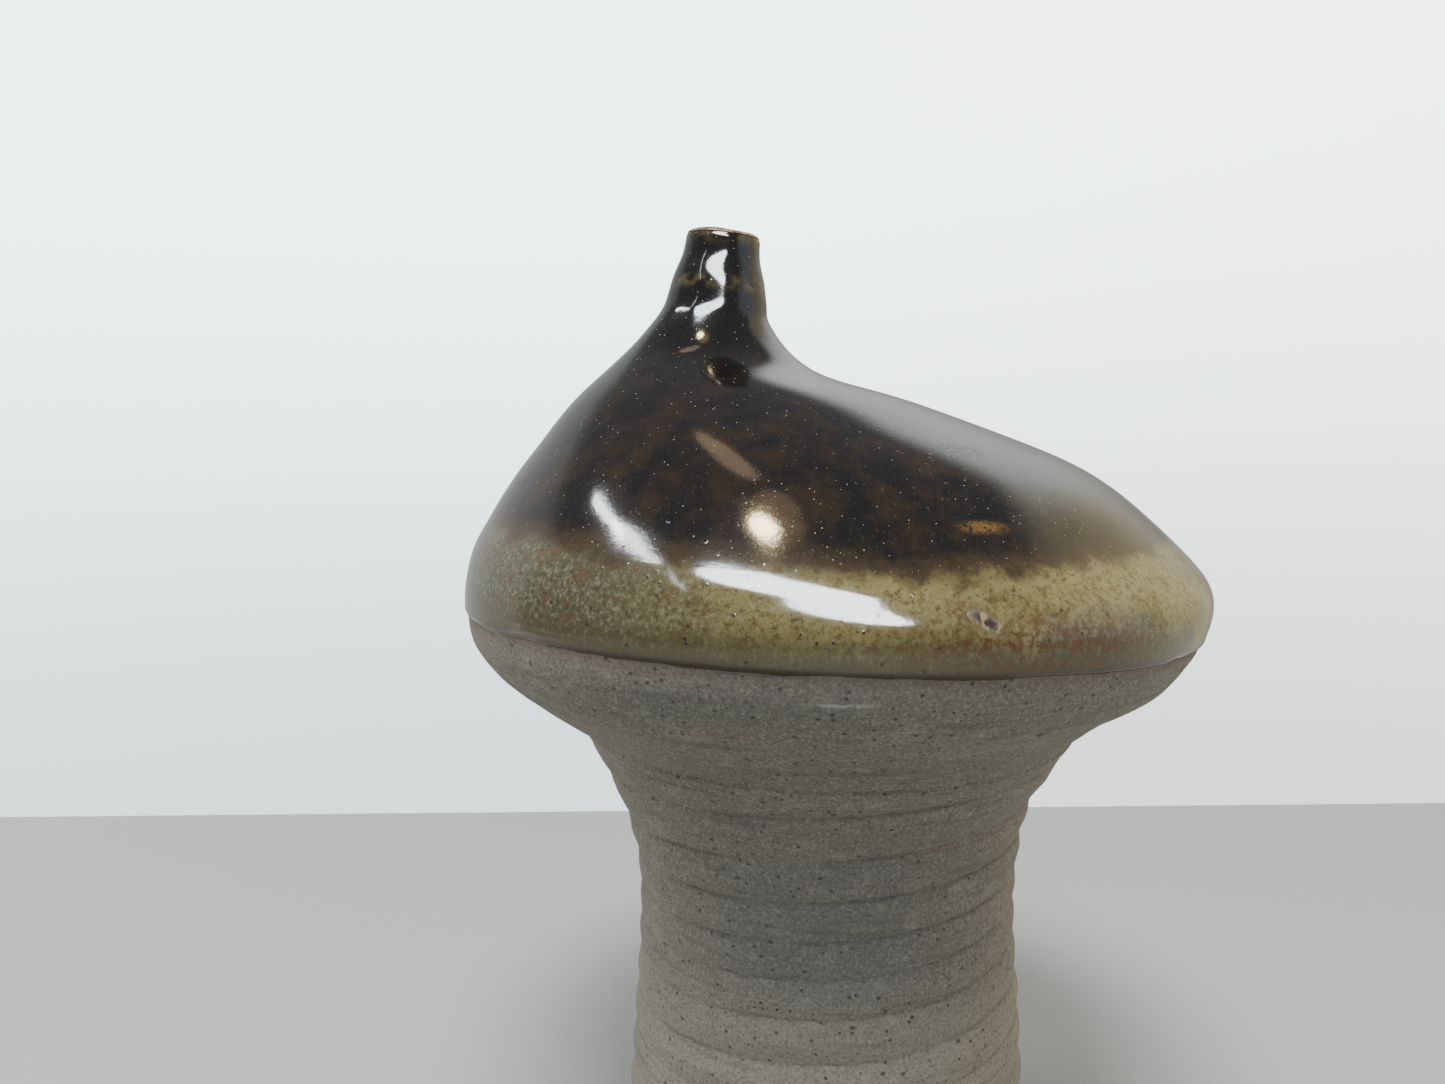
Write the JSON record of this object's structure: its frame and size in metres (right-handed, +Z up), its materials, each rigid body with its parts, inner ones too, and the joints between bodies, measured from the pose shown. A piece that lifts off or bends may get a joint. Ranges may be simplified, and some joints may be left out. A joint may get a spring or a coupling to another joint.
{
  "type": "stoneware weed-pot vase",
  "caption": "Stoneware weed-pot vase: ringed bare clay pedestal under a wide closed head that leans to one side, olive and dark glazes, narrow off-centre neck.",
  "frame": {"origin": "on the pedestal's axis, on the surface that the foot stands on", "axes": "+Z up, +X towards the long shoulder of the head, -Y towards the front"},
  "size_m": [0.1611, 0.1476, 0.2171],
  "materials": {
    "bare_clay": "matt unglazed stoneware, warm grey with dark iron specks",
    "joining_slip": "matt, slightly lighter than the clay",
    "olive_glaze": "glossy olive ash glaze, mottled, with brown spots",
    "dark_glaze": "glossy near-black iron glaze, amber where thin",
    "liner_glaze": "glossy dark brown liner glaze"
  },
  "bodies": {
    "root": {"pedestal": "bare_clay", "seam_slip": "joining_slip", "lower_bowl": "bare_clay", "upper_dome": "bare_clay", "neck": "bare_clay", "olive_glaze": "olive_glaze", "dark_glaze": "dark_glaze", "liner_glaze": "liner_glaze"}
  },
  "joints": []
}
